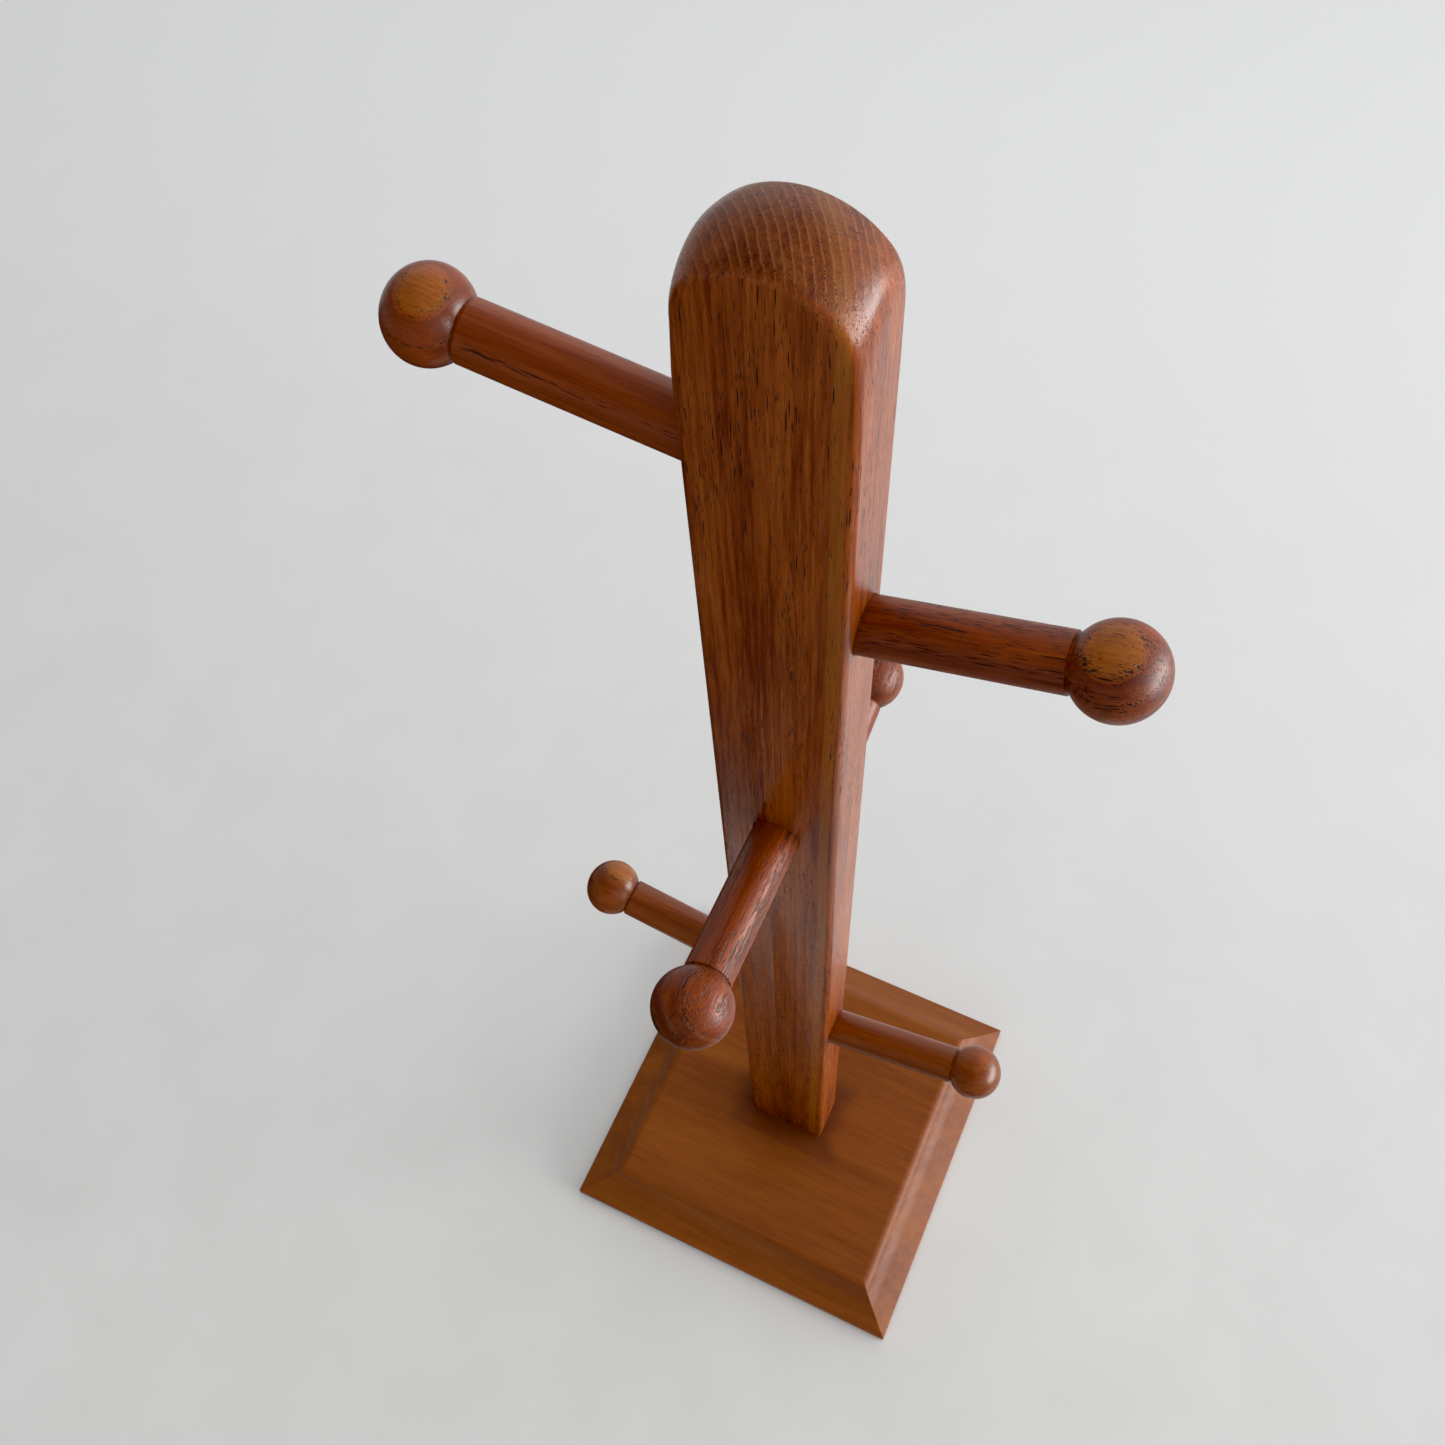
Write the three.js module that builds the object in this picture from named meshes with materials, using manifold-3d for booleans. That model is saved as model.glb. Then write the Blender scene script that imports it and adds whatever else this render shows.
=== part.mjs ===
// Mug tree: a square base with a moulded edge, a rectangular post with a domed end, and six turned
// pegs with ball ends, each glued into an angled blind hole. Two wood screws come up through the base
// into the post. Millimetres, +Z up. The origin is the centre of the base's underside.
import * as THREE from "three";
import { mergeVertices } from "three/addons/utils/BufferGeometryUtils.js";
import Module from "manifold-3d";

const wasm = await Module();
wasm.setup();

const GAP = 0.3; // clearance between a piece and what it stands on or goes into

// The edge moulding runs down from the top: a steep shoulder, a flatter bevel, then an upright edge.
const BASE = {
  side: 120,
  height: 12,
  mouldingWidth: 12,
  shoulderWidth: 3,
  shoulderDrop: 4,
  edgeHeight: 3,
  easing: 0.6,
};
// The post's end is part of a ball whose centre lies domeOffset behind the post's axis.
const POST = {
  width: 27,
  depth: 15,
  arris: 1.5,
  domeCentre: 409.7,
  domeRadius: 15.4,
  domeOffset: 1.25,
};
const PEG = {
  rootRadius: 5.2,
  neckRadius: 5.1,
  grooveDepth: 0.55,
  grooveWidth: 0.7,
  chamfer: 0.8,
};
const SCREW = {
  length: 38,
  headRadius: 3.9,
  headHeight: 2.6,
  headRim: 0.3,
  shankRadius: 2,
  rootRadius: 1.35,
  threadLength: 25,
  pointLength: 5,
  pitch: 1.8,
  slotWidth: 0.9,
  slotDepth: 1.1,
  recess: 0.6,
  spacing: 14,
};

// Each peg leaves the middle of one face of the post. facing is the compass angle of that face from +X,
// swing turns the peg sideways and slant lifts its ball end, all in degrees. reach is the distance from
// the face to the ball's centre, and depth is how far the peg goes into the post. The balls are turned
// by hand: each has its own radius across the peg and its own half length along it.
const PEGS = [
  {
    name: "peg_upper_left",
    facing: 180,
    height: 382,
    slant: 10,
    swing: 2,
    reach: 43.3,
    depth: 16,
    ball: { radius: 7.7, halfLength: 7.2 },
  },
  {
    name: "peg_upper_right",
    facing: 0,
    height: 347,
    slant: 15,
    swing: 1,
    reach: 41,
    depth: 16,
    ball: { radius: 8, halfLength: 7.9 },
  },
  {
    name: "peg_middle_front",
    facing: 270,
    height: 268,
    slant: 12,
    swing: 2.5,
    reach: 44,
    depth: 9.5,
    ball: { radius: 8.2, halfLength: 8 },
  },
  {
    name: "peg_middle_back",
    facing: 90,
    height: 236,
    slant: 12,
    swing: 1,
    reach: 42.5,
    depth: 9.5,
    ball: { radius: 7.9, halfLength: 7.9 },
  },
  {
    name: "peg_lower_left",
    facing: 180,
    height: 157,
    slant: 13,
    swing: 0,
    reach: 43.1,
    depth: 16,
    ball: { radius: 7.7, halfLength: 7.3 },
  },
  {
    name: "peg_lower_right",
    facing: 0,
    height: 127.5,
    slant: 11.5,
    swing: 2,
    reach: 43.1,
    depth: 16,
    ball: { radius: 7.5, halfLength: 7.3 },
  },
];

const WOOD = {
  base: { color: 0x7a3e12, roughness: 0.45, metalness: 0 },
  post: { color: 0x6b2f12, roughness: 0.4, metalness: 0 },
  peg: { color: 0x74361a, roughness: 0.4, metalness: 0 },
};
const STEEL = { color: 0xb8b4aa, roughness: 0.35, metalness: 1 };

// A closed geometry as a solid that can be joined and cut.
function solidOf(geometry) {
  const bare = geometry.clone();
  bare.deleteAttribute("normal");
  bare.deleteAttribute("uv");
  const merged = mergeVertices(bare, 1e-4);
  return new wasm.Manifold(
    new wasm.Mesh({
      numProp: 3,
      vertProperties: merged.attributes.position.array,
      triVerts: new Uint32Array(merged.index.array),
    }),
  );
}

function geometryOf(solid) {
  const mesh = solid.getMesh();
  const geometry = new THREE.BufferGeometry();
  geometry.setAttribute("position", new THREE.BufferAttribute(mesh.vertProperties, 3));
  geometry.setIndex(new THREE.BufferAttribute(mesh.triVerts, 1));
  return geometry;
}

function subtractAll(body, tools) {
  const solid = tools.reduce((rest, tool) => rest.subtract(solidOf(tool)), solidOf(body));
  return geometryOf(solid);
}

// A turned solid about +Z. outline is a list of [radius, z] from the bottom to the top.
function turned(outline, segments) {
  const points = outline.map(([radius, z]) => new THREE.Vector2(radius, z));
  return new THREE.LatheGeometry(points, segments).rotateX(Math.PI / 2);
}

function cylinder(radius, bottom, top, segments = 28) {
  return turned([[0, bottom], [radius, bottom], [radius, top], [0, top]], segments);
}

// The outline of a round end about [0, z], from an angle above the horizontal up to the tip on the axis.
function roundEnd(radius, z, fromAngle, halfLength = radius) {
  const steps = 14;
  const rim = Array.from({ length: steps }, (_, i) => {
    const angle = fromAngle + ((Math.PI / 2 - fromAngle) * i) / steps;
    return [radius * Math.cos(angle), z + halfLength * Math.sin(angle)];
  });
  return [...rim, [0, z + halfLength]];
}

function addMesh(group, name, geometry, look) {
  geometry.computeVertexNormals();
  const mesh = new THREE.Mesh(geometry, new THREE.MeshStandardMaterial(look));
  mesh.name = name;
  group.add(mesh);
  return mesh;
}

// The base is its edge profile carried round a square: four flat sides that meet in mitres.
function baseBlock() {
  const { side, height, shoulderWidth, shoulderDrop, mouldingWidth, edgeHeight, easing } = BASE;
  const half = side / 2;
  const panel = half - mouldingWidth;
  const profile = [
    [0, 0],
    [half - easing, 0],
    [half, easing],
    [half, edgeHeight],
    [panel + shoulderWidth, height - shoulderDrop],
    [panel, height],
    [0, height],
  ];
  const corners = profile.map(([reach, z]) => [reach * Math.SQRT2, z]);
  return turned(corners, 4).rotateZ(Math.PI / 4);
}

function roundedRectangle(width, depth, radius) {
  const [x, y] = [width / 2, depth / 2];
  const shape = new THREE.Shape();
  shape.moveTo(x, y - radius);
  shape.absarc(x - radius, y - radius, radius, 0, Math.PI / 2);
  shape.absarc(radius - x, y - radius, radius, Math.PI / 2, Math.PI);
  shape.absarc(radius - x, radius - y, radius, Math.PI, 1.5 * Math.PI);
  shape.absarc(x - radius, radius - y, radius, 1.5 * Math.PI, 2 * Math.PI);
  shape.closePath();
  return shape;
}

// The post's end is shaped round: what lies outside the dome's ball is taken off.
function postBlock(foot) {
  const { width, depth, arris, domeCentre, domeRadius, domeOffset } = POST;
  const stick = new THREE.ExtrudeGeometry(roundedRectangle(width, depth, arris), {
    depth: domeCentre + domeRadius + 1 - foot,
    bevelEnabled: false,
    curveSegments: 4,
  }).translate(0, 0, foot);
  const envelope = turned(
    [
      [0, foot - 1],
      [2 * domeRadius, foot - 1],
      [2 * domeRadius, domeCentre - domeRadius],
      ...roundEnd(domeRadius, domeCentre, 0),
    ],
    64,
  ).translate(0, domeOffset, 0);
  return geometryOf(solidOf(stick).intersect(solidOf(envelope)));
}

// Where a peg's root centre lies on the post's face, and how its axis is turned from +Z.
function pegPlacement({ facing, height, slant, swing }) {
  const face = THREE.MathUtils.degToRad(facing);
  const heading = THREE.MathUtils.degToRad(facing + swing);
  const lift = THREE.MathUtils.degToRad(slant);
  const position = new THREE.Vector3(
    (Math.cos(face) * POST.width) / 2,
    (Math.sin(face) * POST.depth) / 2,
    height,
  );
  const axis = new THREE.Vector3(
    Math.cos(heading) * Math.cos(lift),
    Math.sin(heading) * Math.cos(lift),
    Math.sin(lift),
  );
  const turn = new THREE.Quaternion().setFromUnitVectors(new THREE.Vector3(0, 0, 1), axis);
  return { position, turn };
}

// One turned peg about +Z: tenon below zero, then a shaft that thins to a fine groove, then the ball.
function pegShape({ reach, depth, ball }) {
  const { rootRadius, neckRadius, grooveDepth, grooveWidth, chamfer } = PEG;
  const neckAngle = -Math.acos(neckRadius / ball.radius);
  const neck = reach + ball.halfLength * Math.sin(neckAngle);
  return turned(
    [
      [0, -depth],
      [rootRadius - chamfer, -depth],
      [rootRadius, -depth + chamfer],
      [rootRadius, 0],
      [neckRadius, neck - grooveWidth],
      [neckRadius - grooveDepth, neck - grooveWidth / 2],
      ...roundEnd(ball.radius, reach, neckAngle, ball.halfLength),
    ],
    30,
  );
}

function pegHole(peg) {
  const { position, turn } = pegPlacement(peg);
  const hole = cylinder(PEG.rootRadius + GAP, -peg.depth - GAP, PEG.rootRadius);
  return hole.applyQuaternion(turn).translate(...position);
}

// Countersunk wood screw about +Z with its head at the bottom. The thread is a ridge that climbs one
// pitch for each turn, cut into a turned blank by moving its points in and out.
function screwShape() {
  const { length, headRadius, headHeight, headRim, slotWidth, slotDepth } = SCREW;
  const { shankRadius, rootRadius, threadLength, pointLength, pitch } = SCREW;
  const threadStart = length - threadLength;
  const rowsPerTurn = 5;
  const rows = Math.round((threadLength / pitch) * rowsPerTurn);
  const outline = [
    [0, 0],
    [headRadius, 0],
    [headRadius, headRim],
    [shankRadius, headHeight],
    [shankRadius, threadStart],
  ];
  for (let row = 1; row < rows; row += 1) {
    outline.push([shankRadius, threadStart + (threadLength * row) / rows]);
  }
  outline.push([0, length]);
  const blank = turned(outline, 12);
  const points = blank.attributes.position;
  const point = new THREE.Vector3();
  for (let i = 0; i < points.count; i += 1) {
    point.fromBufferAttribute(points, i);
    const reach = Math.hypot(point.x, point.y);
    if (point.z > threadStart + 1e-3 && reach > 1e-3) {
      const turns = point.z / pitch - Math.atan2(point.y, point.x) / (2 * Math.PI) + 2;
      const ridge = 1 - Math.abs(2 * (turns % 1) - 1);
      const taper = Math.min(1, (length - point.z) / pointLength);
      const radius = (rootRadius + (shankRadius - rootRadius) * ridge) * taper;
      points.setXY(i, (point.x / reach) * radius, (point.y / reach) * radius);
    }
  }
  const slot = new THREE.BoxGeometry(3 * headRadius, slotWidth, 2 * slotDepth);
  return subtractAll(blank, [slot]);
}

// The room a screw needs: a countersink for its head and a straight hole for the rest.
function screwHole(x) {
  const { length, headRadius, headHeight, shankRadius, recess } = SCREW;
  return turned(
    [
      [0, -1],
      [headRadius + GAP, -1],
      [headRadius + GAP, recess + GAP],
      [shankRadius + GAP, recess + headHeight + GAP],
      [shankRadius + GAP, recess + length + 1],
      [0, recess + length + 1],
    ],
    28,
  ).translate(x, 0, 0);
}

const mugTree = new THREE.Group();
const screws = [
  { name: "screw_left", x: -SCREW.spacing / 2 },
  { name: "screw_right", x: SCREW.spacing / 2 },
];
const screwHoles = screws.map(({ x }) => screwHole(x));
const pegHoles = PEGS.map(pegHole);
const postFoot = BASE.height + GAP;

addMesh(mugTree, "base_plate", subtractAll(baseBlock(), screwHoles), WOOD.base);
addMesh(mugTree, "post", subtractAll(postBlock(postFoot), [...pegHoles, ...screwHoles]), WOOD.post);

for (const peg of PEGS) {
  const { position, turn } = pegPlacement(peg);
  const mesh = addMesh(mugTree, peg.name, pegShape(peg), WOOD.peg);
  mesh.position.copy(position);
  mesh.quaternion.copy(turn);
}

for (const { name, x } of screws) {
  const mesh = addMesh(mugTree, name, screwShape(), STEEL);
  mesh.position.set(x, 0, SCREW.recess);
}

export default mugTree;
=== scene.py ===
"""Mug tree in oiled teak: a moulded base, a post with a domed end, six turned pegs and two screws.

Lengths are in metres and +Z is up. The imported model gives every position, and the pieces made here
stand in its place with eased edges, bored holes and solid wood that shows its growth rings.
"""

import math

import bmesh
import bpy
import numpy as np
from mathutils import Matrix, Vector


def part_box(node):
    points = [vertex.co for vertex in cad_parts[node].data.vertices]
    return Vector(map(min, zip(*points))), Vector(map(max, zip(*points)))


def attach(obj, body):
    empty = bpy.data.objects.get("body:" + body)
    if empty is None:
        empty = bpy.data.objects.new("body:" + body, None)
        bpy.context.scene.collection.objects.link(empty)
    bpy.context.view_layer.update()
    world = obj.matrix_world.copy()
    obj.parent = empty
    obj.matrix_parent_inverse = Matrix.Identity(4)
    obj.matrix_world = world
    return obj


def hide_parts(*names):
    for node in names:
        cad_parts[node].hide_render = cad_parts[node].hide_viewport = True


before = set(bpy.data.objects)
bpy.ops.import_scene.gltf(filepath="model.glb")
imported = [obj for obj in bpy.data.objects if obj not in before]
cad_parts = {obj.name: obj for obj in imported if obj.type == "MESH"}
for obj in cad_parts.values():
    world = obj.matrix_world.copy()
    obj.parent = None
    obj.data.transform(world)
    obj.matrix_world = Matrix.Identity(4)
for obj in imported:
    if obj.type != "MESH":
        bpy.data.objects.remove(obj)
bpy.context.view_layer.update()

MM = 0.001

# The sky brightens towards one side and falls off overhead. Each range is (from low, from high, to
# low, to high), in the cosine of the angle to that side or to straight up, then in strength.
SKY_COLOUR = (0.96, 0.98, 1.0, 1.0)
SKY_SIDE = (0.62, 0.74, 0.26)
SKY_RANGE = (-0.6, 0.9, 0.12, 1.0)
SKY_FALL = (0.5, 0.92, 1.0, 0.10)
# Lamps: (place, aim, size, watts, in reflections, on matt surfaces).
LAMPS = {
    "window": ((2.3, 0.5, 0.52), (0, 0, 0.2), (2.0, 1.0), 54, True, True),
    "overhead": ((0, 0.2, 2.2), (0, 0, 0), (2.0, 2.0), 20, False, True),
    "front": ((-0.3, -2.0, 0.7), (0, 0, 0.3), (1.2, 0.8), 4.5, False, True),
    "glint": ((1.7, 0.55, 0.3), (0, 0, 0.25), (2.2, 0.6), 12, True, False),
}
# The x and y ranges of the dark cards, which are seen only in reflections.
CARDS = {"front": ((-1.5, 1.5), (-1.7, -0.105)), "left": ((-1.5, -0.08), (-0.105, 0.25))}
CARD_HEIGHT = 0.001
CARD_HIDDEN_FROM = ("camera", "diffuse", "shadow", "transmission")
FLOOR_REACH = 8
BLACK_LEVEL = 0.005

CAMERA_PLACE = (0.0534, -0.1178, 0.5401)
CAMERA_HEADING, CAMERA_PITCH, CAMERA_ROLL = 30.0, -61.1, -5.6
CAMERA_LENS, CAMERA_SENSOR, CAMERA_CLIP = 35.35, 36, 0.01

VESSEL_COLOUR = (0.020, 0.004, 0.002, 1.0)
RING_LINE_COLOUR = (0.30, 0.115, 0.045, 1.0)  # where rings start, on wood cut across the fibre
# Painted shade: the base's top is painted darker round the post's foot, where the post's shade
# falls.
PAINTED_SHADE_COLOUR = (0.075, 0.012, 0.002, 1.0)
PAINTED_SHADE_REACH = 16 * MM
PAINTED_SHADE_HEIGHTS = (8 * MM, 10 * MM)  # the underside and edges get none of the painted shade, below the first of these

PEG_RING = 3.4  # millimetres between growth rings in a peg
BALL_RING_DEPTH = 6.3  # millimetres from the axis out to the ring that bounds the ball's pale end
# For each peg: its ball's radius across the peg and half length along it, the way its growth rings
# face, the number of the ring that bounds the ball's end, and its wood. Ring 20 has pale wood
# outside it.
PALE_RING = 20
PEGS = {
    "peg_upper_left": (7.7 * MM, 7.2 * MM, (0.2, -0.2, 0.95), PALE_RING, "red"),
    "peg_upper_right": (8.0 * MM, 7.9 * MM, (-0.26, -0.13, 0.97), PALE_RING, "open"),
    "peg_middle_front": (8.2 * MM, 8.0 * MM, (0.72, 0.1, 0.69), 10.5, "open"),
    "peg_middle_back": (7.9 * MM, 7.9 * MM, (-0.5, 0.0, 0.8), 12, "open"),
    "peg_lower_left": (7.7 * MM, 7.3 * MM, (0.1, 0.5, 0.8), PALE_RING, "golden"),
    "peg_lower_right": (7.5 * MM, 7.3 * MM, (0.1, 0.6, 0.8), 14, "golden"),
}
SCREWS = ("screw_left", "screw_right")

# The base's edge moulding, from the top: a steep shoulder, a flatter bevel and an upright edge.
MOULDING_WIDTH, SHOULDER_WIDTH, SHOULDER_DROP, EDGE_HEIGHT = 12 * MM, 3 * MM, 4 * MM, 3 * MM
MITRE_EASING = 0.35 * MM
# How much its corners are rounded, from the bottom up, and how far in its flats are carried.
FOOT_EASING, EDGE_EASING, SHOULDER_HOLLOW, PANEL_EASING = 0.6 * MM, 0.8 * MM, 13 * MM, 4 * MM
UNDERSIDE_MARGIN, PANEL_MARGIN = 4 * MM, 5 * MM

POST_HALVES = (13.5 * MM, 7.5 * MM)  # half the width and depth of the post
ARRIS = 1.5 * MM
JOINT_LINE = 0.05 * MM  # between the post's foot and the base
# The dome is part of a ball whose centre lies behind the post's axis. Its rim is rounded off.
DOME_RADIUS, DOME_OFFSET, DOME_SOFTNESS = 15.4 * MM, 1.25 * MM, 1.6 * MM
DOME_START, DOME_STEPS = 1.6 * DOME_RADIUS, 72

SHAFT_ROOT, SHAFT_NECK = 5.2 * MM, 5.1 * MM
GROOVE_DEPTH, GROOVE_WIDTH, TENON_CHAMFER = 0.55 * MM, 0.7 * MM, 0.8 * MM
BORE_GAP = 0.12 * MM
BORE_END = 2.2  # a bore stops this many ball half lengths short of the peg's tip
BALL_STEPS = 30

SCREW_HEAD, SCREW_SHANK, SCREW_CORE = 3.9 * MM, 2 * MM, 1.35 * MM
SCREW_HEAD_RIM, SCREW_HEAD_HEIGHT = 0.3 * MM, 2.6 * MM
SCREW_SLOT_WIDTH, SCREW_SLOT_DEPTH = 0.9 * MM, 1.1 * MM
SCREW_THREAD, SCREW_POINT, SCREW_PITCH = 25 * MM, 5 * MM, 1.8 * MM
SCREW_GAP, ROWS_PER_TURN = 0.15 * MM, 12


# ---------------------------------------------------------------- outlines and meshes


def filleted(corners, steps=6):
    """Corners, each (x, y, radius), as a line of points with every corner rounded to its radius."""
    line = [corners[0][:2]]
    for before, corner, after in zip(corners, corners[1:], corners[2:]):
        here, radius = Vector(corner[:2]), corner[2]
        back = (Vector(before[:2]) - here).normalized()
        ahead = (Vector(after[:2]) - here).normalized()
        half = back.angle(ahead) / 2
        if radius == 0 or half > math.radians(89):
            line.append(tuple(here))
            continue
        centre = here + (back + ahead).normalized() * radius / math.sin(half)
        start = (here + back * radius / math.tan(half) - centre).normalized()
        end = (here + ahead * radius / math.tan(half) - centre).normalized()
        for step in range(steps + 1):
            line.append(tuple(centre + start.slerp(end, step / steps) * radius))
    line.append(corners[-1][:2])
    return line


def skin(rings, name):
    """A closed mesh over rings of equally many points, each end either one point or a flat cap."""
    mesh = bmesh.new()
    rows = [[mesh.verts.new(point) for point in ring] for ring in rings]
    for low, high in zip(rows, rows[1:]):
        count = max(len(low), len(high))
        for i in range(count):
            j = (i + 1) % count
            below = [low[i % len(low)], low[j % len(low)]]
            above = [high[j % len(high)], high[i % len(high)]]
            mesh.faces.new(list(dict.fromkeys(below + above)))
    for row, turned_over in ((rows[0], True), (rows[-1], False)):
        if len(row) > 2:
            mesh.faces.new(row[::-1] if turned_over else row)
    made = bpy.data.meshes.new(name)
    mesh.to_mesh(made)
    mesh.free()
    made.shade_smooth()
    piece = bpy.data.objects.new(name, made)
    bpy.context.scene.collection.objects.link(piece)
    return piece


def turned(outline, name, segments=64):
    """A solid of revolution about +Z. outline runs from the axis below to the axis above."""
    angles = [math.tau * i / segments for i in range(segments)]
    rings = []
    for radius, height in outline:
        if radius < 1e-7:
            rings.append([(0, 0, height)])
        else:
            rings.append([(radius * math.cos(a), radius * math.sin(a), height) for a in angles])
    return skin(rings, name)


def rounded_rectangle(half_width, half_depth, radius, across=1, along=1, steps=8):
    """Points round a rectangle with round corners. Its long sides are cut into as many lengths as
    across says, and its short sides as along says."""
    corners = ((1, 1, 0), (-1, 1, 90), (-1, -1, 180), (1, -1, 270))
    points = []
    for sx, sy, start in corners:
        cx, cy = sx * (half_width - radius), sy * (half_depth - radius)
        for step in range(steps + 1):
            angle = math.radians(start + 90 * step / steps)
            points.append(Vector((cx + radius * math.cos(angle), cy + radius * math.sin(angle))))
    rounded = []
    for i, point in enumerate(points):
        rounded.append(point)
        ahead = points[(i + 1) % len(points)]
        if (i + 1) % (steps + 1) == 0:
            pieces = across if abs(ahead.x - point.x) > abs(ahead.y - point.y) else along
            rounded += [point.lerp(ahead, k / pieces) for k in range(1, pieces)]
    return rounded


def applied(piece):
    """Bakes a piece's modifiers into its mesh."""
    shaped = piece.evaluated_get(bpy.context.evaluated_depsgraph_get())
    mesh = bpy.data.meshes.new_from_object(shaped)
    piece.modifiers.clear()
    piece.data = mesh


def merge_flats(piece):
    """Joins faces that lie in one plane, so that holes are bored through whole flats."""
    mesh = bmesh.new()
    mesh.from_mesh(piece.data)
    flat_within = math.radians(0.02)
    bmesh.ops.dissolve_limit(mesh, angle_limit=flat_within, verts=mesh.verts, edges=mesh.edges)
    mesh.to_mesh(piece.data)
    mesh.free()


def cut(piece, cutters, inside):
    """Bores the cutters out of a piece. The walls they leave take the material inside."""
    for cutter in cutters:
        for surface in (piece.data.materials[0], inside):
            cutter.data.materials.append(surface)
        for face in cutter.data.polygons:
            face.material_index = 1
        boolean = piece.modifiers.new("bore", "BOOLEAN")
        boolean.object = cutter
        boolean.operation = "DIFFERENCE"
        boolean.solver = "EXACT"
    applied(piece)
    for cutter in cutters:
        bpy.data.objects.remove(cutter)


def smooth_normals(piece):
    piece.data.shade_smooth()
    weighted = piece.modifiers.new("normals", "WEIGHTED_NORMAL")
    weighted.mode = "FACE_AREA"
    weighted.weight = 100


def moved(piece, matrix):
    """Puts a piece in place through its mesh, as the CAD nodes are placed."""
    piece.data.transform(matrix)
    return piece


def set_grain(piece, fibre, across, origin=(0, 0, 0), shift=(0, 0, 0)):
    """Stores where each point lies in its own plank, in millimetres: across the growth rings, along
    them and along the fibre. It also stores how squarely each face is cut across the fibre."""
    fibre = Vector(fibre).normalized()
    across = Vector(across)
    across = (across - fibre * across.dot(fibre)).normalized()
    along = fibre.cross(across)
    plank = np.array([across, along, fibre])
    points = np.array([v.co for v in piece.data.vertices]) - np.array(origin)
    places = points @ plank.T / MM + np.array(shift)
    layer = piece.data.attributes.new("grain", "FLOAT_VECTOR", "POINT")
    layer.data.foreach_set("vector", places.astype(np.float32).ravel())
    facing = np.array([face.normal for face in piece.data.polygons]) @ np.array(fibre)
    layer = piece.data.attributes.new("end_grain", "FLOAT", "FACE")
    layer.data.foreach_set("value", np.abs(facing).astype(np.float32))


def finish_piece(piece, node):
    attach(piece, "root")
    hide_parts(node)


# ---------------------------------------------------------------- materials


class Nodes:
    """A material's node tree, with short ways to add to it."""

    def __init__(self, name):
        self.material = bpy.data.materials.new(name)
        self.material.use_nodes = True
        self.tree = self.material.node_tree
        self.shader = self.tree.nodes["Principled BSDF"]

    def add(self, kind, inputs=None, **settings):
        node = self.tree.nodes.new("ShaderNode" + kind)
        for key, value in settings.items():
            setattr(node, key, value)
        for key, value in (inputs or {}).items():
            self.put(value, node.inputs[key])
        return node

    def put(self, value, socket):
        if isinstance(value, bpy.types.NodeSocket):
            self.tree.links.new(value, socket)
        else:
            socket.default_value = value

    def maths(self, operation, a, b=0.0, c=0.0, clamp=False):
        node = self.add("Math", {0: a, 1: b, 2: c}, operation=operation, use_clamp=clamp)
        return node.outputs[0]

    def ramp(self, value, low, high, start=0.0, end=1.0, smooth=True):
        """start where value is at or below low, end where it is at or above high."""
        kind = "SMOOTHSTEP" if smooth else "LINEAR"
        inputs = {"Value": value, "From Min": low, "From Max": high, "To Min": start, "To Max": end}
        return self.add("MapRange", inputs, interpolation_type=kind).outputs["Result"]

    def scaled(self, vector, scale, location=(0, 0, 0)):
        inputs = {"Vector": vector, "Scale": scale, "Location": location}
        return self.add("Mapping", inputs).outputs[0]

    def noise(self, vector, detail=2.0, roughness=0.5):
        inputs = {"Vector": vector, "Scale": 1.0, "Detail": detail, "Roughness": roughness}
        return self.add("TexNoise", inputs).outputs["Fac"]

    def mix(self, share, a, b, blend="MIX"):
        node = self.add("Mix", data_type="RGBA", blend_type=blend)
        self.put(share, node.inputs[0])
        self.put(a, node.inputs[6])
        self.put(b, node.inputs[7])
        return node.outputs[2]

    def bump(self, height):
        """height is in millimetres."""
        inputs = {"Height": height, "Distance": MM, "Strength": 1.0}
        return self.add("Bump", inputs).outputs["Normal"]


def colour(red, green, blue):
    return (red, green, blue, 1.0)


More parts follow.
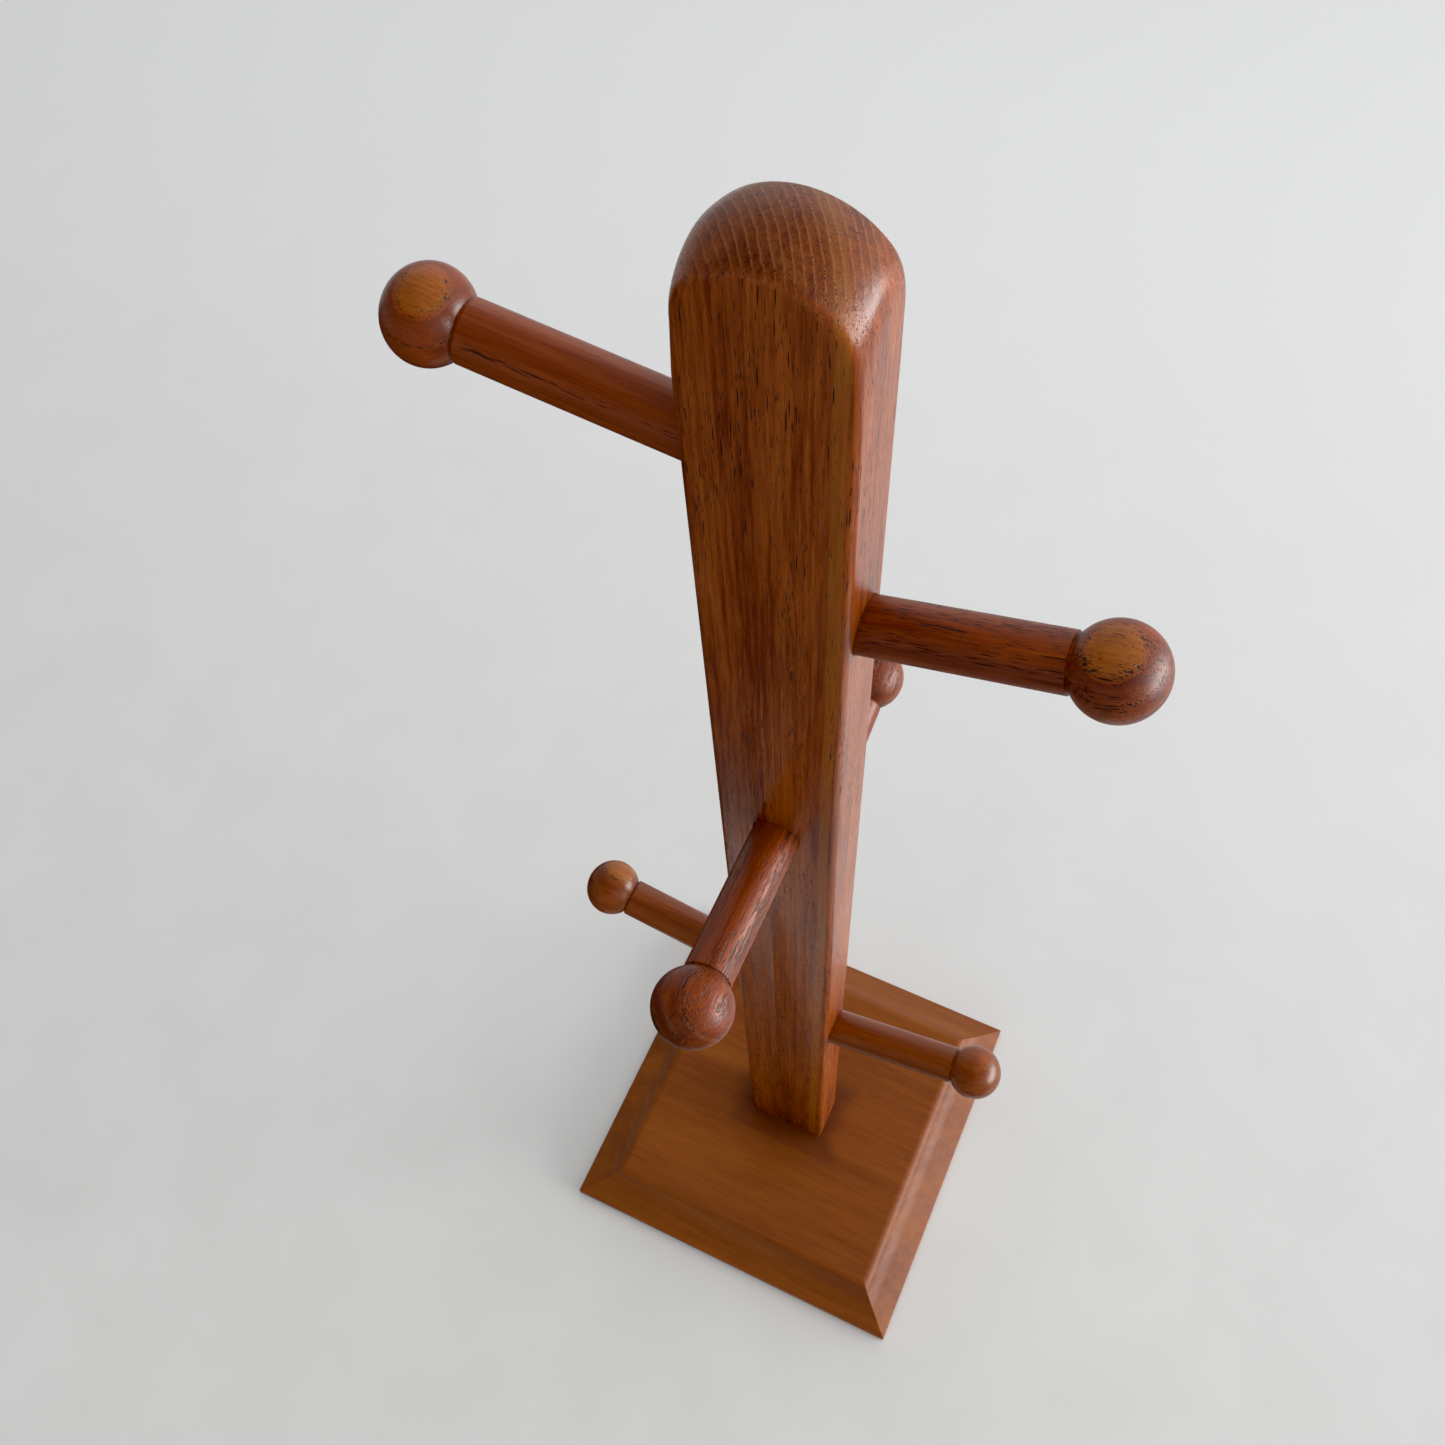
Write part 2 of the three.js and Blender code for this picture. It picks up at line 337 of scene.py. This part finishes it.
def teak(
    name,
    early,
    late,
    rings,
    pores,
    mottled=1.0,
    satin=0.29,
    streak=None,
    painted_shade_box=None,
    gloss=0.5,
):
    """Oiled teak. Its growth rings, vessels and fibres fill the whole solid, so each face shows
    them as a cut through the plank would. The scales of its noises are per millimetre.

    early and late are the lightest and darkest wood. rings is (spacing in millimetres, curve,
    wander in millimetres, contrast), and pores is (share of the wood, how far they keep to the
    rings).
    mottled is how uneven its colour is, and satin is its roughness. streak is (place across the
    rings, half width, colour). painted_shade_box is half the width and depth of what stands on
    the piece; round it the wood is painted darker, a painted shade where the two meet. gloss is
    how much the wood reflects.
    """
    spacing, curve, wandering, contrast = rings
    pore_share, in_rings = pores
    n = Nodes(name)
    grain = n.add("Attribute", attribute_name="grain").outputs["Vector"]
    end = n.add("Attribute", attribute_name="end_grain").outputs["Fac"]
    parts = n.add("SeparateXYZ", {"Vector": grain}).outputs
    across, along = parts["X"], parts["Y"]

    def swing(value, amount):
        """Noise as a change of up to half an amount either way."""
        return n.maths("MULTIPLY", n.maths("SUBTRACT", value, 0.5), amount)

    def total(*values):
        result = values[0]
        for value in values[1:]:
            result = n.maths("ADD", result, value)
        return result

    # Rings: layers across the plank, gently curved, that wander slowly along the fibre.
    wander = n.noise(n.scaled(grain, (0.05, 0.05, 0.011)), 2.0)
    ripple = n.noise(n.scaled(grain, (0.5, 0.5, 0.04), (7, 3, 1)), 2.0)
    bent = n.maths("MULTIPLY_ADD", n.maths("MULTIPLY", along, along), curve, across)
    depth = total(bent, swing(wander, 2 * wandering), swing(ripple, 0.6 * wandering))
    count = n.maths("DIVIDE", depth, spacing)
    phase = n.maths("FRACT", count)
    white = {"W": n.maths("FLOOR", count)}
    ring_tint = n.add("TexWhiteNoise", white, noise_dimensions="1D").outputs["Value"]
    porous = n.maths("MULTIPLY", n.ramp(phase, 0.0, 0.08), n.ramp(phase, 0.12, 0.34, 1.0, 0.0))
    dense = n.ramp(phase, 0.3, 1.0)

    # Vessels: long thin hollows, more of them where a ring starts and in some bands than others.
    bands = n.noise(n.scaled(grain, (0.22, 0.22, 0.02), (3, 9, 5)), 2.0)
    bands = n.ramp(bands, 0.35, 0.62, 0.45, 1.0)
    crowd = n.maths("MULTIPLY_ADD", porous, in_rings, 1 - 0.75 * in_rings)
    crowd = n.maths("MULTIPLY", bands, crowd)

    def vessels(width, length, share, place):
        cells = {"Vector": n.scaled(grain, (1 / width, 1 / width, 1 / length), place), "Scale": 1.0}
        spread = n.add("TexVoronoi", cells).outputs["Distance"]
        size = n.maths("MULTIPLY", crowd, share)
        return n.ramp(n.maths("DIVIDE", spread, size), 0.65, 1.0, 1.0, 0.0)

    wide = vessels(0.55, 10.0, 1.05 * pore_share, (0, 0, 0))
    fine = vessels(0.30, 3.6, 1.35 * pore_share, (40, 20, 9))
    holes = n.maths("MAXIMUM", wide, n.maths("MULTIPLY", fine, 0.8))

    # Colour: broad figure and mottle, faint rings, hair-fine fibres, then the dark vessels.
    figure = n.noise(n.scaled(grain, (0.10, 0.10, 0.007), (1, 5, 2)), 2.0, 0.5)
    mottle = n.noise(n.scaled(grain, (0.42, 0.42, 0.028), (5, 1, 8)), 3.0, 0.55)
    flecks = n.noise(n.scaled(grain, (1.5, 1.5, 0.09), (9, 2, 4)), 3.0, 0.6)
    fibres = n.noise(n.scaled(grain, (4.0, 4.0, 0.12)), 3.0, 0.6)
    layered = n.maths("MULTIPLY_ADD", dense, 0.55, n.maths("MULTIPLY", ring_tint, 0.45))
    tone = total(0.5, swing(layered, contrast), swing(figure, 1.15), swing(mottle, 1.6 * mottled))
    tone = n.maths("ADD", tone, swing(flecks, 1.6 * mottled), clamp=True)
    wood = n.mix(tone, early, late)
    if streak:
        place, half_width, tint = streak
        distance = n.maths("ABSOLUTE", n.maths("SUBTRACT", depth, place))
        share = n.maths("MULTIPLY", n.ramp(distance, 0.6 * half_width, half_width, 1.0, 0.0), 0.85)
        wood = n.mix(n.maths("MULTIPLY", share, n.ramp(flecks, 0.35, 0.62, 0.35, 1.0)), wood, tint)
    cut_across = n.ramp(end, 0.3, 0.9)
    lines = n.maths("MULTIPLY", porous, n.maths("MULTIPLY", cut_across, 1.2 * contrast))
    darkened = n.maths("MULTIPLY", cut_across, -0.9 * contrast)
    shade = total(1.0, swing(fibres, 0.35 + 0.3 * mottled), darkened)
    grey = n.add("CombineColor", {0: shade, 1: shade, 2: shade}).outputs[0]
    wood = n.mix(1.0, wood, grey, "MULTIPLY")
    wood = n.mix(lines, wood, RING_LINE_COLOUR)
    # Painted shade: darker in uneven patches round the foot of what stands on the piece, on its top
    # only.
    if painted_shade_box:
        spot = n.add("SeparateXYZ", {"Vector": n.add("TexCoord").outputs["Object"]}).outputs
        gaps = [n.maths("SUBTRACT", n.maths("ABSOLUTE", spot[i]), painted_shade_box[i]) for i in (0, 1)]
        distance = n.maths("MAXIMUM", *gaps)
        patch = n.noise(n.scaled(grain, (0.13, 0.13, 0.05), (2, 2, 2)), 3.0)
        reach = n.maths("MULTIPLY_ADD", patch, PAINTED_SHADE_REACH, MM)
        painted_shade_share = n.ramp(n.maths("DIVIDE", distance, reach), 0.0, 1.0, 1.0, 0.0)
        painted_shade_share = n.maths("MULTIPLY", painted_shade_share, n.ramp(spot["Z"], *PAINTED_SHADE_HEIGHTS, 0.0, 0.7))
        wood = n.mix(painted_shade_share, wood, PAINTED_SHADE_COLOUR)
    wood = n.mix(n.maths("MULTIPLY", holes, 0.92), wood, VESSEL_COLOUR)

    # Surface: oil fills the wood to a satin, and vessels and fibres stay open.
    smudge = n.noise(n.scaled(grain, (0.09, 0.09, 0.03), (8, 8, 8)), 3.0)
    rough = total(satin, swing(smudge, 0.14), swing(fibres, 0.16), n.maths("MULTIPLY", holes, 0.1))
    open_grain = n.maths("MULTIPLY_ADD", cut_across, -0.6, 1.0)
    relief = total(n.maths("MULTIPLY", holes, -0.09), swing(fibres, 0.04), swing(flecks, 0.05))
    relief = n.maths("MULTIPLY", relief, open_grain)
    n.put(wood, n.shader.inputs["Base Color"])
    n.put(rough, n.shader.inputs["Roughness"])
    n.put(n.bump(relief), n.shader.inputs["Normal"])
    n.shader.inputs["IOR"].default_value = 1.5
    n.shader.inputs["Specular IOR Level"].default_value = gloss
    return n.material


def steel():
    """Plain turned steel: fine rings round the screw's axis, dulled here and there."""
    n = Nodes("turned_steel")
    place = n.add("TexCoord").outputs["Object"]
    rings = n.noise(n.scaled(place, (900, 900, 9000)), 3.0)
    dull = n.noise(n.scaled(place, (320, 320, 320)), 3.0)
    tone = n.mix(n.ramp(dull, 0.4, 0.7), colour(0.62, 0.60, 0.57), colour(0.36, 0.33, 0.29))
    rough = n.maths("ADD", n.ramp(rings, 0.3, 0.7, 0.22, 0.34), n.ramp(dull, 0.4, 0.7, 0.0, 0.2))
    n.put(tone, n.shader.inputs["Base Color"])
    n.put(rough, n.shader.inputs["Roughness"])
    n.put(n.bump(n.maths("MULTIPLY", rings, 0.01)), n.shader.inputs["Normal"])
    n.shader.inputs["Metallic"].default_value = 1.0
    return n.material


# ---------------------------------------------------------------- pieces


def base_plate(wood, raw):
    low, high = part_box("base_plate")
    half, top = (high.x - low.x) / 2, high.z
    panel = half - MOULDING_WIDTH
    profile = filleted(
        [
            (half - UNDERSIDE_MARGIN, low.z, 0),
            (half, low.z, FOOT_EASING),
            (half, EDGE_HEIGHT, EDGE_EASING),
            (panel + SHOULDER_WIDTH, top - SHOULDER_DROP, SHOULDER_HOLLOW),
            (panel, top, PANEL_EASING),
            (panel - PANEL_MARGIN, top, 0),
        ],
        steps=10,
    )
    rings = []
    for reach, height in profile:
        ring = rounded_rectangle(reach, reach, MITRE_EASING, steps=4)
        rings.append([(p.x, p.y, height) for p in ring])
    base = skin(rings, "teak_base_plate")
    base.data.materials.append(wood)
    base.data.materials.append(raw)
    cut(base, [screw_hole(name) for name in SCREWS], raw)
    smooth_normals(base)
    set_grain(base, fibre=(1, 0, 0), across=(0, 0.55, 0.83), shift=(31, 7, 15))
    finish_piece(base, "base_plate")


def soft_least(a, b, softness):
    """The smaller of two numbers, rounded off where they are nearly equal."""
    overlap = max(softness - abs(a - b), 0) / softness
    return min(a, b) - overlap * overlap * softness / 4


def post(wood, raw, peg_ends):
    low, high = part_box("post")
    half_width, half_depth, top = (high.x - low.x) / 2, (high.y - low.y) / 2, high.z
    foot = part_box("base_plate")[1].z + JOINT_LINE
    centre = Vector((0, DOME_OFFSET))
    section = rounded_rectangle(half_width, half_depth, ARRIS, across=24, along=12)
    rings = [[(p.x, p.y, height) for p in section] for height in (foot, top - DOME_START)]
    for step in range(DOME_STEPS):
        rise = math.radians(90 * step / DOME_STEPS)
        reach, height = DOME_RADIUS * math.cos(rise), top - DOME_RADIUS * (1 - math.sin(rise))
        spokes = [p - centre for p in section]
        ring = [centre + p * soft_least(p.length, reach, DOME_SOFTNESS) / p.length for p in spokes]
        rings.append([(p.x, p.y, height) for p in ring])
    rings.append([(centre.x, centre.y, top)])
    piece = skin(rings, "teak_post")
    merge_flats(piece)
    piece.data.materials.append(wood)
    piece.data.materials.append(raw)
    bores = [peg_bore(node, ends) for node, ends in peg_ends.items()]
    cut(piece, bores + [screw_hole(name) for name in SCREWS], raw)
    smooth_normals(piece)
    set_grain(piece, fibre=(0.003, 0, 1), across=(0.8, 0.6, 0), shift=(0, 0, 40))
    finish_piece(piece, "post")


def turned_axis(node):
    """The tenon's end and the ball's tip of a turned CAD node, on its axis."""
    corners = np.array([v.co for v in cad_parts[node].data.vertices])
    corners = np.unique(np.round(corners, 7), axis=0)
    middle = corners.mean(axis=0)
    axis = np.linalg.svd(corners - middle)[2][0]
    heights = (corners - middle) @ axis
    reach = np.linalg.norm(corners - middle - np.outer(heights, axis), axis=1)
    if heights[reach.argmax()] < 0:
        axis, heights = -axis, -heights
    return Vector(middle + axis * heights.min()), Vector(middle + axis * heights.max())


def standing(start, end):
    """Turns +Z to point from start to end and puts the origin at start."""
    return Matrix.Translation(start) @ (end - start).to_track_quat("Z", "Y").to_matrix().to_4x4()


def peg_bore(node, ends):
    """The hole a peg is glued into, open past the post's face."""
    tenon_end, tip = ends
    length = (tip - tenon_end).length - BORE_END * PEGS[node][1]
    radius = SHAFT_ROOT + BORE_GAP
    hole = turned([(0, -BORE_GAP), (radius, -BORE_GAP), (radius, length), (0, length)], "bore", 96)
    return moved(hole, standing(tenon_end, tip))


def peg(node, number, ends, woods):
    """One turned peg: tenon, shaft that thins to a fine groove, and ball."""
    ball_radius, half_length, layers, ring, kind = PEGS[node]
    tenon_end, tip = ends
    length = (tip - tenon_end).length
    centre = length - half_length
    start = -math.acos(SHAFT_NECK / ball_radius)
    neck = centre + half_length * math.sin(start)
    outline = filleted(
        [
            (0, 0, 0),
            (SHAFT_ROOT - TENON_CHAMFER, 0, 0.1 * MM),
            (SHAFT_ROOT, TENON_CHAMFER, 0.2 * MM),
            (SHAFT_NECK, neck - GROOVE_WIDTH, 0.25 * MM),
            (SHAFT_NECK - GROOVE_DEPTH, neck - GROOVE_WIDTH / 2, 0.1 * MM),
            (SHAFT_NECK, neck, 0),
        ],
        steps=4,
    )
    for step in range(1, BALL_STEPS):
        angle = start + (math.pi / 2 - start) * step / BALL_STEPS
        outline.append((ball_radius * math.cos(angle), centre + half_length * math.sin(angle)))
    outline.append((0, length))
    piece = moved(turned(outline, "teak_" + node, 72), standing(tenon_end, tip))
    piece.data.materials.append(woods[kind])
    smooth_normals(piece)
    shift = (PEG_RING * ring - BALL_RING_DEPTH, 3.0 * number, 90.0 * number)
    set_grain(piece, tip - tenon_end, layers, origin=tenon_end, shift=shift)
    finish_piece(piece, node)


def screw_hole(node):
    """The room for a screw: a countersink for its head and a straight hole for the rest."""
    low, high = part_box(node)
    hole = turned(
        [
            (0, -MM),
            (SCREW_HEAD + SCREW_GAP, -MM),
            (SCREW_HEAD + SCREW_GAP, low.z + SCREW_HEAD_RIM),
            (SCREW_SHANK + SCREW_GAP, low.z + SCREW_HEAD_HEIGHT + SCREW_GAP),
            (SCREW_SHANK + SCREW_GAP, high.z + MM),
            (0, high.z + MM),
        ],
        "hole_" + node,
    )
    return moved(hole, Matrix.Translation(((low.x + high.x) / 2, 0, 0)))


def screw(node, metal):
    """A countersunk wood screw with a slotted head at the bottom and its point up in the post."""
    low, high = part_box(node)
    length = high.z - low.z
    thread_start = length - SCREW_THREAD
    outline = filleted(
        [
            (0, 0, 0),
            (SCREW_HEAD, 0, 0.12 * MM),
            (SCREW_HEAD, SCREW_HEAD_RIM, 0.1 * MM),
            (SCREW_SHANK, SCREW_HEAD_HEIGHT, 0.6 * MM),
            (SCREW_SHANK, thread_start, 0),
        ],
        steps=4,
    )
    rows = round(SCREW_THREAD / SCREW_PITCH * ROWS_PER_TURN)
    outline += [(SCREW_SHANK, thread_start + SCREW_THREAD * row / rows) for row in range(1, rows)]
    outline.append((0, length))
    piece = turned(outline, "steel_" + node, 36)
    for vertex in piece.data.vertices:
        x, y, z = vertex.co
        reach = math.hypot(x, y)
        if z > thread_start + 1e-6 and reach > 1e-6:
            turn = (z / SCREW_PITCH - math.atan2(y, x) / math.tau) % 1
            ridge = max(0, 1 - 1.6 * abs(2 * turn - 1))
            taper = min(1, (length - z) / SCREW_POINT)
            radius = (SCREW_CORE + (SCREW_SHANK - SCREW_CORE) * ridge) * taper
            vertex.co = (x / reach * radius, y / reach * radius, z)
    piece.data.materials.append(metal)
    slot = rounded_rectangle(2 * SCREW_HEAD, SCREW_SLOT_WIDTH / 2, 0.1 * MM, steps=2)
    blade = skin([[(p.x, p.y, z) for p in slot] for z in (-MM, SCREW_SLOT_DEPTH)], "slot")
    cut(piece, [blade], metal)
    smooth_normals(piece)
    moved(piece, Matrix.Translation(((low.x + high.x) / 2, 0, low.z)))
    finish_piece(piece, node)


# ---------------------------------------------------------------- light, floor and camera


def area_light(name, place, aim, size, power, glossy, diffuse):
    light = bpy.data.lights.new(name, "AREA")
    light.shape = "RECTANGLE"
    light.size, light.size_y = size
    light.energy = power
    lamp = bpy.data.objects.new(name, light)
    lamp.location = place
    lamp.rotation_euler = (Vector(aim) - Vector(place)).to_track_quat("-Z", "Y").to_euler()
    lamp.visible_glossy = glossy
    lamp.visible_diffuse = diffuse
    bpy.context.scene.collection.objects.link(lamp)


def sky():
    """Soft light from all round: brightest behind and to the right, dim in front and overhead."""
    world = bpy.data.worlds.new("studio")
    world.use_nodes = True
    tree = world.node_tree
    place = tree.nodes.new("ShaderNodeTexCoord").outputs["Generated"]
    aside = tree.nodes.new("ShaderNodeVectorMath")
    aside.operation = "DOT_PRODUCT"
    aside.inputs[1].default_value = SKY_SIDE
    up = tree.nodes.new("ShaderNodeSeparateXYZ")
    strength = tree.nodes.new("ShaderNodeMath")
    strength.operation = "MULTIPLY"
    tree.links.new(place, aside.inputs[0])
    tree.links.new(place, up.inputs[0])
    slopes = ((aside.outputs["Value"], SKY_RANGE), (up.outputs[2], SKY_FALL))
    for i, (value, limits) in enumerate(slopes):
        ramp = tree.nodes.new("ShaderNodeMapRange")
        ramp.interpolation_type = "SMOOTHSTEP"
        for socket, number in zip(ramp.inputs[1:5], limits):
            socket.default_value = number
        tree.links.new(value, ramp.inputs[0])
        tree.links.new(ramp.outputs[0], strength.inputs[i])
    background = tree.nodes["Background"]
    background.inputs["Color"].default_value = SKY_COLOUR
    tree.links.new(strength.outputs[0], background.inputs["Strength"])
    bpy.context.scene.world = world


def flat(name, x_range, y_range, height, material):
    """A level rectangle that belongs to the studio."""
    corners = [(x_range[i], y_range[j], height) for i, j in ((0, 0), (1, 0), (1, 1), (0, 1))]
    mesh = bpy.data.meshes.new(name)
    mesh.from_pydata(corners, [], [(0, 1, 2, 3)])
    mesh.materials.append(material)
    sheet = bpy.data.objects.new(name, mesh)
    bpy.context.scene.collection.objects.link(sheet)
    return sheet


def studio():
    sky()
    for name, facts in LAMPS.items():
        area_light(name, *facts)
    view = bpy.context.scene.view_settings
    view.view_transform = "Standard"
    view.use_curve_mapping = True
    view.curve_mapping.black_level = (BLACK_LEVEL, BLACK_LEVEL, BLACK_LEVEL)
    view.curve_mapping.update()

    n = Nodes("pale_floor")
    place = n.add("TexCoord").outputs["Object"]
    cloth = n.noise(n.scaled(place, (25, 25, 25)), 3.0)
    # Painted light: the floor is painted paler behind the object, as if more light fell on it there.
    behind = n.ramp(n.add("SeparateXYZ", {"Vector": place}).outputs["Y"], -0.2, 0.6)
    near = n.mix(n.ramp(cloth, 0.3, 0.7), colour(0.75, 0.745, 0.73), colour(0.78, 0.775, 0.76))
    pale = n.mix(behind, near, colour(0.92, 0.92, 0.92))
    n.put(pale, n.shader.inputs["Base Color"])
    n.shader.inputs["Roughness"].default_value = 0.9
    flat("floor", (-FLOOR_REACH, FLOOR_REACH), (-FLOOR_REACH, FLOOR_REACH), 0, n.material)

    # Dark cards lie on the floor, seen only in reflections, and keep glare off the wood.
    n = Nodes("dark_card")
    n.shader.inputs["Base Color"].default_value = colour(0.01, 0.01, 0.01)
    for side, (x_range, y_range) in CARDS.items():
        card = flat("dark_card_" + side, x_range, y_range, CARD_HEIGHT, n.material)
        for kind in CARD_HIDDEN_FROM:
            setattr(card, "visible_" + kind, False)


def camera():
    lens = bpy.data.cameras.new("camera")
    lens.lens = CAMERA_LENS
    lens.sensor_width = CAMERA_SENSOR
    lens.clip_start = CAMERA_CLIP
    eye = bpy.data.objects.new("camera", lens)
    heading = Matrix.Rotation(math.radians(CAMERA_HEADING), 4, "Z")
    pitch = Matrix.Rotation(math.radians(90 + CAMERA_PITCH), 4, "X")
    roll = Matrix.Rotation(math.radians(CAMERA_ROLL), 4, "Z")
    eye.matrix_world = Matrix.Translation(CAMERA_PLACE) @ heading @ pitch @ roll
    bpy.context.scene.collection.objects.link(eye)
    bpy.context.scene.camera = eye


camera()
studio()

base_wood = teak(
    "teak_base",
    colour(0.31, 0.085, 0.006),
    colour(0.15, 0.028, 0.002),
    rings=(3.6, 0.004, 3.0, 0.15),
    pores=(0.07, 0.2),
    mottled=0.4,
    satin=0.5,
    # painted shade round the post's foot
    painted_shade_box=POST_HALVES,
    gloss=0.38,
)
post_wood = teak(
    "teak_post",
    colour(0.35, 0.080, 0.007),
    colour(0.155, 0.022, 0.002),
    rings=(1.15, 0.006, 0.8, 0.45),
    pores=(0.25, 0.35),
    streak=(4.3, 1.3, colour(0.34, 0.108, 0.010)),
)
red_wood = (colour(0.29, 0.055, 0.004), colour(0.125, 0.015, 0.0015))
golden_wood = (colour(0.31, 0.073, 0.006), colour(0.14, 0.022, 0.002))
peg_tip = (PEG_RING * PALE_RING + 2.6, 2.7, colour(0.36, 0.112, 0.010))
peg_rings = (PEG_RING, 0.004, 0.25, 0.28)
smooth = {"rings": peg_rings, "pores": (0.26, 1.0), "mottled": 0.6, "streak": peg_tip}
rough = {"rings": peg_rings, "pores": (0.40, 0.5), "satin": 0.38, "streak": peg_tip}
peg_woods = {
    "golden": teak("teak_peg_golden", *golden_wood, **smooth),
    "red": teak("teak_peg_red", *red_wood, **smooth),
    "open": teak("teak_peg_open", *red_wood, **rough),
}
raw_wood = teak(
    "teak_raw",
    colour(0.50, 0.33, 0.17),
    colour(0.36, 0.21, 0.10),
    rings=(1.15, 0.006, 0.8, 0.35),
    pores=(0.15, 0.3),
    satin=0.6,
)
metal = steel()

peg_ends = {node: turned_axis(node) for node in PEGS}
base_plate(base_wood, raw_wood)
post(post_wood, raw_wood, peg_ends)
for number, (node, ends) in enumerate(peg_ends.items()):
    peg(node, number, ends, peg_woods)
for node in SCREWS:
    screw(node, metal)
